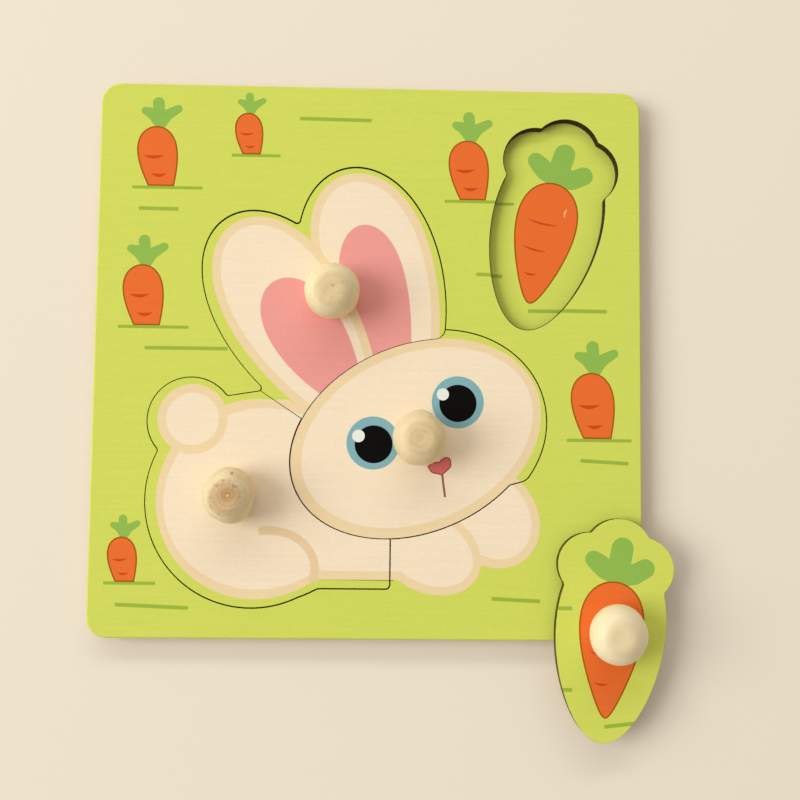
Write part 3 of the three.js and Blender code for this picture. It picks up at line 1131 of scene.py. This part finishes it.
@dataclass
class PrintedSheet:
    """A printed sheet: its inked face, rounded rims, cut walls and bare underside.

    Attributes:
        node: The CAD node that it stands for.
        body: The body that it rides on.
        slot: Its material slot, which is not used.
        picture: What is printed on it, in the order of printing.
        outer: How its outer edge is cut.
        holes: How its holes are cut, from small to large.
        shift: How far it lies to one side in its cut-out.
        ground: The ink between the patches of the picture.
        crease: The angle from which an edge of a wall shows as sharp.
        finishes: Its finishes so far, in the order of the mesh's material indices.
    """

    node: str
    body: str
    slot: str
    picture: list[Patch]
    outer: CutEdge
    holes: tuple[CutEdge, ...] = ()
    shift: Point = (0.0, 0.0)
    ground: Ink = Ink.GREEN
    crease: float = 35.0
    finishes: list[Finish] = field(default_factory=list)

    def index_of(self, finish: Finish) -> int:
        """The mesh's material index of a finish, which is added if it is new."""
        if finish not in self.finishes:
            self.finishes.append(finish)
        return self.finishes.index(finish)

    def divided(self, loops: Sequence[Outline]) -> tuple[np.ndarray, list[tuple[int, ...]], list[Ink]]:
        """Divides the top face along the outlines of the picture and the rims.

        Args:
            loops: The sheet's own outlines, the outer one first.

        Returns:
            The points, the triangles between them, and each triangle's ink.
        """
        points: list[Vector] = []
        faces: list[list[int]] = []
        edges: list[tuple[int, int]] = []

        def added(outline: Sequence[Point]) -> list[int]:
            """Adds an outline's points and gives their numbers."""
            first = len(points)
            points.extend(Vector(p) for p in outline)
            return list(range(first, len(points)))

        for outline in [*loops, *(patch.outline for patch in self.picture)]:
            faces.append(added(outline if area_of(outline) > 0 else outline[::-1]))
        for loop, cut in zip(loops, self.cuts(), strict=True):
            for depth in cut.steps():
                edges.extend(around(added(moved_left(loop, depth))))
        spots, _, triangles, _, _, sources = delaunay_2d_cdt(points, edges, faces, CDT_INSIDE, MERGE_GAP)
        kept = []
        inks = []
        for triangle, inside in zip(triangles, sources, strict=True):
            if 0 in inside and not any(0 < i < len(loops) for i in inside):
                top = max(inside)
                kept.append(tuple(triangle))
                inks.append(self.picture[top - len(loops)].ink if top >= len(loops) else self.ground)
        used = sorted({i for triangle in kept for i in triangle})
        renumbered = {old: new for new, old in enumerate(used)}
        kept = [tuple(renumbered[i] for i in triangle) for triangle in kept]
        return np.array([tuple(spots[i]) for i in used]), kept, inks

    def cuts(self) -> list[CutEdge]:
        """The cut of each outline, the outer one first."""
        return [self.outer, *self.holes]

    def rimmed(
        self,
        spots: np.ndarray,
        triangles: Sequence[tuple[int, ...]],
        inks: Sequence[Ink],
        loops: Sequence[Outline],
    ) -> tuple[np.ndarray, list[int]]:
        """Rounds the top face down to its rims and burns them.

        Args:
            spots: The top face's points.
            triangles: The triangles between them.
            inks: Each triangle's ink.
            loops: The sheet's outlines.

        Returns:
            How far each point sinks, and each triangle's material index.
        """
        middles = spots[np.array(triangles)].mean(1)
        sink = np.zeros(len(spots))
        finish_of = [self.index_of(PrintedFace(ink)) for ink in inks]
        for cut, loop in zip(self.cuts(), loops, strict=True):
            slope = (1 - gaps_to(spots, loop) / cut.rim).clip(0, 1)
            sink = np.maximum(sink, cut.rim * (1 - np.sqrt(1 - slope**2)))
            burnt = gaps_to(middles, loop) < cut.scorch
            wall = self.index_of(cut.wall)
            finish_of = [wall if b else f for b, f in zip(burnt, finish_of, strict=True)]
        return sink, finish_of

    def build(self) -> bpy.types.Object:
        """Makes the sheet.

        Returns:
            The sheet, riding on its body in place of its CAD node.
        """
        low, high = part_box(self.node)
        right, up = self.shift
        drawn = [[(x + right, y + up) for x, y in loop] for loop in top_loops(self.node)]
        loops = [moved_left(loop, -cut.spread) for loop, cut in zip(drawn, self.cuts(), strict=True)]
        spots, triangles, inks = self.divided(loops)
        sink, finish_of = self.rimmed(spots, triangles, inks, loops)
        span = max(high.x - low.x, high.y - low.y) / MM
        places = SheetMap((low.x / MM, low.y / MM), span, (high.z - low.z) / MM)
        mesh = bmesh.new()
        layer = mesh.loops.layers.uv.new("OFBake")
        heights = high.z - sink * MM
        tops = [mesh.verts.new((x * MM, y * MM, z)) for (x, y), z in zip(spots, heights, strict=True)]
        for triangle, finish in zip(triangles, finish_of, strict=True):
            face = mesh.faces.new([tops[i] for i in triangle])
            face.material_index = finish
            face.smooth = any(sink[i] > TINY for i in triangle)
            for corner, i in zip(face.loops, triangle, strict=True):
                corner[layer].uv = places.on_top(*spots[i])
        self.add_walls(mesh, tops, spots, triangles, loops, low.z, places)
        return self.placed(mesh)

    def add_walls(
        self,
        mesh: bmesh.types.BMesh,
        tops: Sequence[bmesh.types.BMVert],
        spots: np.ndarray,
        triangles: Sequence[tuple[int, ...]],
        loops: Sequence[Outline],
        floor: float,
        places: SheetMap,
    ) -> None:
        """Adds the walls below the rim, and the underside.

        Args:
            mesh: The sheet's mesh, with its top face.
            tops: The top face's vertices.
            spots: Where they are.
            triangles: The top face's triangles.
            loops: The sheet's outlines.
            floor: The underside's height, in metres.
            places: Where the faces lie on the sheet's map.
        """
        layer = mesh.loops.layers.uv.active
        sides = {side for triangle in triangles for side in around(triangle)}
        rim = in_order(sorted((a, b) for a, b in sides if (b, a) not in sides))
        ends = sorted({i for side in rim for i in side})
        feet = {i: mesh.verts.new((*tops[i].co.xy, floor)) for i in ends}
        middles = np.array([(spots[a] + spots[b]) / 2 for a, b in rim])
        nearest = np.array([gaps_to(middles, loop) for loop in loops]).argmin(0)
        for (a, b), loop in zip(rim, nearest, strict=True):
            wall = mesh.faces.new((feet[a], feet[b], tops[b], tops[a]))
            wall.material_index = self.index_of(self.cuts()[loop].wall)
            wall.smooth = True
            for corner, place in zip(wall.loops, places.wall(math.dist(spots[a], spots[b])), strict=True):
                corner[layer].uv = place
        for foot in feet.values():
            for edge in foot.link_edges:
                if len(edge.link_faces) == 2 and edge.calc_face_angle() > math.radians(self.crease):
                    edge.smooth = False
        hems = [mesh.edges.get((feet[a], feet[b])) for a, b in rim]
        filled = bmesh.ops.triangle_fill(mesh, use_beauty=True, edges=hems, normal=(0, 0, -1))
        bare = self.index_of(BarePly())
        for face in filled["geom"]:
            if isinstance(face, bmesh.types.BMFace):
                face.material_index = bare
                face.smooth = False
                for corner in face.loops:
                    corner[layer].uv = places.underneath(corner.vert.co.x / MM, corner.vert.co.y / MM)

    def placed(self, mesh: bmesh.types.BMesh) -> bpy.types.Object:
        """Turns the mesh into an object that stands for the CAD node."""
        mesh.normal_update()
        data = bpy.data.meshes.new(f"{self.node}_printed")
        mesh.to_mesh(data)
        mesh.free()
        for finish in self.finishes:
            data.materials.append(finish.material())
        sheet = bpy.data.objects.new(data.name, data)
        bpy.context.scene.collection.objects.link(sheet)
        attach(sheet, self.body)
        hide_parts(self.node)
        return sheet


@dataclass
class TurnedKnob:
    """A knob turned from a dowel: a ball with a flat foot, a flat top and a tenon, cut a little unevenly.

    Attributes:
        node: The CAD node that it stands for.
        body: The body that it rides on.
        wood: What it is made of.
        lean: How far the flat top lies off the knob's axis.
        slack: The share of the radius that is missing on its slack side, or below 0 where that side swells.
        slack_turn: Where that side is, anticlockwise from +X.
        uneven: How far the tool cut in elsewhere.
        lobes: How often it did so in one turn.
        phase: Where the first of those cuts is, in radians.
        tenon_length: How far the tenon reaches below the foot.
        tenon_radius: The tenon's radius.
        tenon_chamfer: How far the edge of its end is cut off.
        foot_radius: The flat foot's radius.
        waist_radius: The widest ring's radius.
        waist_height: The widest ring's height above the foot.
        top_radius: The flat top's radius.
        top_round: How far the edge of the flat top is rounded.
        top_rings: The flat top's rings, as shares of its radius.
        dish_share: The part of the flat top that is a shallow dish.
        dish_depth: The dish's depth at its edge.
        dish_middle: Its depth in the middle.
        lean_power: How late on the way up from the waist the lean sets in.
        crease: The angle from which an edge shows as sharp.
        sides: The parts of one turn.
        arc_steps: The parts of each half of the ball.
    """

    node: str
    body: str
    wood: TurnedWood
    lean: Point = (0.0, 0.0)
    slack: float = 0.0
    slack_turn: float = 0.0
    uneven: float = 0.12
    lobes: int = 5
    phase: float = 0.0
    tenon_length: float = 2.8
    tenon_radius: float = 2.5
    tenon_chamfer: float = 0.2
    foot_radius: float = 5.0
    waist_radius: float = 7.5
    waist_height: float = 7.0
    top_radius: float = 3.9
    top_round: float = 1.5
    top_rings: tuple[float, ...] = (0.5, 0.42, 0.35, 0.2, 0.08)
    dish_share: float = 0.4
    dish_depth: float = 0.05
    dish_middle: float = 0.08
    lean_power: float = 1.4
    crease: float = 50.0
    sides: int = 72
    arc_steps: int = 14

    def arc(self, flat_radius: float, flat_height: float) -> list[Vector]:
        """A quarter of an ellipse from the waist to a flat's rim, as radius and height."""
        end = math.acos(flat_radius / self.waist_radius)
        rise = (flat_height - self.waist_height) / math.sin(end)
        turns = [end * i / self.arc_steps for i in range(self.arc_steps + 1)]
        wide, level = self.waist_radius, self.waist_height
        return [Vector((wide * math.cos(turn), level + rise * math.sin(turn))) for turn in turns]

    def profile(self, height: float) -> list[Vector]:
        """The knob's half section from the tenon's end to the middle of its top.

        Args:
            height: The top's height above the foot.

        Returns:
            The points as radius and height above the foot.
        """
        lower = self.arc(self.foot_radius, 0.0)[::-1]
        upper = self.arc(self.top_radius, height)[1:]
        end, side, chamfer = -self.tenon_length, self.tenon_radius, self.tenon_chamfer
        tenon = [Vector(p) for p in ((0.0, end), (side - chamfer, end), (side, chamfer + end), (side, 0.0))]
        crown = self.rounded(upper[-4], Vector((self.top_radius, height)), Vector((0.0, height)))
        rings = []
        for share in self.top_rings:
            depth = self.dish_depth if share < self.dish_share else 0.0
            rings.append(Vector((self.top_radius * share, height - depth)))
        return [*tenon, *lower, *upper[:-3], *crown, *rings, Vector((0.0, height - self.dish_middle))]

    def rounded(self, before: Vector, corner: Vector, after: Vector, steps: int = 5) -> list[Vector]:
        """The points of a rounded corner between two others."""
        start = corner + (before - corner).normalized() * self.top_round
        end = corner + (after - corner).normalized() * self.top_round
        shares = [i / steps for i in range(steps + 1)]
        return [start.lerp(corner, s).lerp(corner.lerp(end, s), s) for s in shares]

    def unevenness(self, turn: float, share: float) -> float:
        """How far the hand-held tool cut in at a turn and at a share of the height."""
        swell = math.sin(self.lobes * turn + self.phase + 2.5 * share)
        ripple = math.sin((self.lobes + 2) * turn - 1.7 * self.phase + 7.0 * share)
        side = max(0.0, math.cos(turn - math.radians(self.slack_turn))) ** 2
        cut = self.uneven * (0.5 + 0.32 * swell + 0.18 * ripple) + self.slack * self.waist_radius * side
        return cut * math.sin(math.pi * min(1.0, max(0.0, share)))

    def shift(self, level: float, height: float) -> Point:
        """How far a ring lies off the axis, from none at the waist to the whole lean at the top."""
        rise = max(0.0, (level - self.waist_height) / (height - self.waist_height))
        share = rise**self.lean_power
        return (self.lean[0] * share, self.lean[1] * share)

    def ring_at(self, radius: float, level: float, height: float) -> Outline:
        """One ring's points, from the knob's axis.

        Args:
            radius: The ring's radius before the tool's cuts.
            level: Its height above the foot.
            height: The top's height above the foot.

        Returns:
            The points along X and Y, anticlockwise.
        """
        shift_x, shift_y = self.shift(level, height)
        is_even = radius <= self.tenon_radius
        made: Outline = []
        for i in range(self.sides):
            turn = 2 * math.pi * i / self.sides
            reach = radius - (0.0 if is_even else self.unevenness(turn, level / height))
            made.append((shift_x + reach * math.cos(turn), shift_y + reach * math.sin(turn)))
        return made

    def build(self) -> bpy.types.Object:
        """Makes the knob.

        Returns:
            The knob, riding on its body in place of its CAD node.
        """
        low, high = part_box(self.node)
        x, y = (low.x + high.x) / 2 / MM, (low.y + high.y) / 2 / MM
        foot = low.z / MM + self.tenon_length
        height = high.z / MM - foot
        profile = self.profile(height)
        mesh = bmesh.new()
        rings = []
        for radius, level in profile[1:-1]:
            ring = self.ring_at(radius, level, height)
            rings.append([mesh.verts.new(Vector((x + a, y + b, foot + level)) * MM) for a, b in ring])
        for lower, upper in zip(rings, rings[1:], strict=False):
            for i, j in around(range(self.sides)):
                mesh.faces.new((lower[i], lower[j], upper[j], upper[i]))
        bottom = mesh.verts.new(Vector((x, y, foot + profile[0].y)) * MM)
        top = mesh.verts.new(Vector((x + self.lean[0], y + self.lean[1], foot + profile[-1].y)) * MM)
        for i, j in around(range(self.sides)):
            mesh.faces.new((bottom, rings[0][j], rings[0][i]))
            mesh.faces.new((top, rings[-1][i], rings[-1][j]))
        for face in mesh.faces:
            face.smooth = True
        for edge in mesh.edges:
            if edge.calc_face_angle(0.0) > math.radians(self.crease):
                edge.smooth = False
        return self.placed(mesh, (x, y))

    def placed(self, mesh: bmesh.types.BMesh, middle: Point) -> bpy.types.Object:
        """Turns the mesh into an object that stands for the CAD node."""
        data = bpy.data.meshes.new(f"{self.node}_turned")
        mesh.to_mesh(data)
        mesh.free()
        data.materials.append(replace(self.wood, middle=middle).material())
        knob = bpy.data.objects.new(data.name, data)
        bpy.context.scene.collection.objects.link(knob)
        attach(knob, self.body)
        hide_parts(self.node)
        return knob


@dataclass(frozen=True)
class Lamp:
    """A soft box that points at the board."""

    name: str
    place: tuple[float, float, float]
    width: float
    height: float
    level: float
    tint: tuple[float, float, float] = (1.0, 1.028, 1.06)

    def build(self) -> None:
        """Makes the lamp, strong enough to bring a white board to its level."""
        away = Vector(self.place) * MM
        data = bpy.data.lights.new(self.name, "AREA")
        data.shape = "RECTANGLE"
        data.size = self.width * MM
        data.size_y = self.height * MM
        data.color = self.tint
        data.energy = self.level * math.pi**2 * away.length_squared * away.length / away.z
        lamp = bpy.data.objects.new(self.name, data)
        lamp.location = away
        lamp.rotation_mode = "QUATERNION"
        lamp.rotation_quaternion = (-away).to_track_quat("-Z", "Y")
        bpy.context.scene.collection.objects.link(lamp)


@dataclass
class Studio:
    """The floor, the light and the camera."""

    floor_half: float = 3000.0
    floor_sink: float = 0.05
    backdrop: Rgb = (237, 226, 205)
    room_level: float = 0.405
    room_tint: Colour = (1.0, 0.94, 0.87, 1.0)
    lamps: tuple[Lamp, ...] = (
        Lamp("left_soft_box", (-1950.0, 60.0, 1700.0), 1600.0, 1600.0, 0.44),
        Lamp("top_strip", (-300.0, 1500.0, 1300.0), 2600.0, 400.0, 0.21),
    )
    lens: float = 49.275
    sight: tuple[float, float] = (10.0, 100_000.0)
    camera_place: tuple[float, float, float] = (-0.14, -32.60, 300.68)
    camera_right: tuple[float, float, float] = (0.99951, 0.01043, 0.02964)
    camera_up: tuple[float, float, float] = (-0.01256, 0.99729, 0.0725)
    camera_back: tuple[float, float, float] = (-0.02881, -0.07283, 0.99693)

    def build_floor(self) -> None:
        """Lays the floor under the board."""
        half, level = self.floor_half * MM, -self.floor_sink * MM
        corners = [(-half, -half, level), (half, -half, level), (half, half, level), (-half, half, level)]
        data = bpy.data.meshes.new("floor")
        data.from_pydata(corners, [], [(0, 1, 2, 3)])
        data.materials.append(FloorPaper(self.backdrop).material())
        floor = bpy.data.objects.new("floor", data)
        bpy.context.scene.collection.objects.link(floor)

    def build_light(self) -> None:
        """Sets the lamps, and a room that lights evenly and shows the backdrop's colour."""
        for lamp in self.lamps:
            lamp.build()
        world = bpy.data.worlds.new("studio_room")
        bpy.context.scene.world = world
        room = ShaderTree(world)
        light = room.add("ShaderNodeBackground", {}, {"Color": self.room_tint, "Strength": self.room_level})
        view = room.add("ShaderNodeBackground", {}, {"Color": linear(self.backdrop), "Strength": 1.0})
        room.finish(room.add("ShaderNodeMixShader", {}, {0: room.seen(), 1: light, 2: view}))
        bpy.context.scene.view_settings.view_transform = "Standard"

    def build_camera(self) -> None:
        """Sets the camera above the board, as the photograph was taken."""
        data = bpy.data.cameras.new("camera")
        data.lens = self.lens
        data.clip_start = self.sight[0] * MM
        data.clip_end = self.sight[1] * MM
        camera = bpy.data.objects.new("camera", data)
        axes = Matrix((self.camera_right, self.camera_up, self.camera_back)).transposed()
        camera.rotation_mode = "QUATERNION"
        camera.rotation_quaternion = axes.to_quaternion()
        camera.location = Vector(self.camera_place) * MM
        bpy.context.scene.collection.objects.link(camera)
        bpy.context.scene.camera = camera

    def build(self) -> None:
        """Makes the floor, the light and the camera."""
        self.build_floor()
        self.build_light()
        self.build_camera()


def sheets() -> list[PrintedSheet]:
    """The six sheets of the puzzle."""
    picture = board_picture()
    return [
        PrintedSheet("backing_board", "board", "bare_plywood", recess_picture(), GLUED),
        PrintedSheet("frame_board", "board", "printed_board", picture, SAWN, (RECESS_CUT, LASER_CUT)),
        PrintedSheet("ears_piece", "ears", "rabbit_print", picture, LASER_CUT, (DRILLED,), (0.0, -0.15)),
        PrintedSheet("head_piece", "head", "rabbit_print", picture, LASER_CUT, (DRILLED,)),
        PrintedSheet("body_piece", "torso", "rabbit_print", picture, LASER_CUT, (DRILLED,), (-0.06, 0.06)),
        PrintedSheet("carrot_piece", "carrot", "carrot_print", loose_picture(), CARROT_CUT, (DRILLED,)),
    ]


def knobs() -> list[TurnedKnob]:
    """The four knobs, each from its own stick of wood."""
    ears = TurnedWood("ears", (3.0, -5.0), ring_gap=2.6, ring_share=0.18, fleck=(0.3, 0.1), fleck_share=0.3)
    head = TurnedWood(
        "head",
        (-0.6, -0.4),
        flank=(237, 217, 174),
        streak=(222, 198, 152),
        face=(225, 201, 152),
        heart_radius=0.1,
    )
    body = TurnedWood(
        "body",
        (0.1, 0.2),
        flank=(239, 220, 178),
        streak=(219, 194, 148),
        face=(218, 187, 140),
        ring=(194, 155, 106),
        heart=(186, 147, 95),
        heart_radius=3.2,
        ring_gap=1.25,
        ring_share=0.32,
        dot=0.55,
        torn=0.5,
        fleck=(0.66, 5.68),
        fleck_radius=0.42,
        fleck_share=0.55,
    )
    carrot = TurnedWood(
        "carrot",
        (-6.0, 4.5),
        flank=(247, 230, 192),
        streak=(239, 219, 176),
        face=(237, 217, 172),
        ring=(226, 202, 154),
        ring_share=0.06,
        torn=0.0,
    )
    return [
        TurnedKnob("ears_knob", "ears", ears, (-0.2, -1.0), 0.03, -20.0, phase=0.4),
        TurnedKnob("head_knob", "head", head, (0.0, -0.35), 0.1, 10.0, uneven=0.3, phase=1.9),
        TurnedKnob("body_knob", "torso", body, (-0.8, -0.8), 0.2, 0.0, uneven=0.35, lobes=4, phase=2.6),
        TurnedKnob("carrot_knob", "carrot", carrot, (-1.1, 0.5), -0.1, 95.0, phase=3.3),
    ]


def main() -> None:
    """Builds the puzzle piece by piece."""
    logging.basicConfig(level=logging.INFO, format="%(message)s")
    Studio().build()
    for maker in [*sheets(), *knobs()]:
        piece = maker.build()
        LOG.info("%s: %d faces", piece.name, len(piece.data.polygons))


if __name__ == "__main__":
    main()
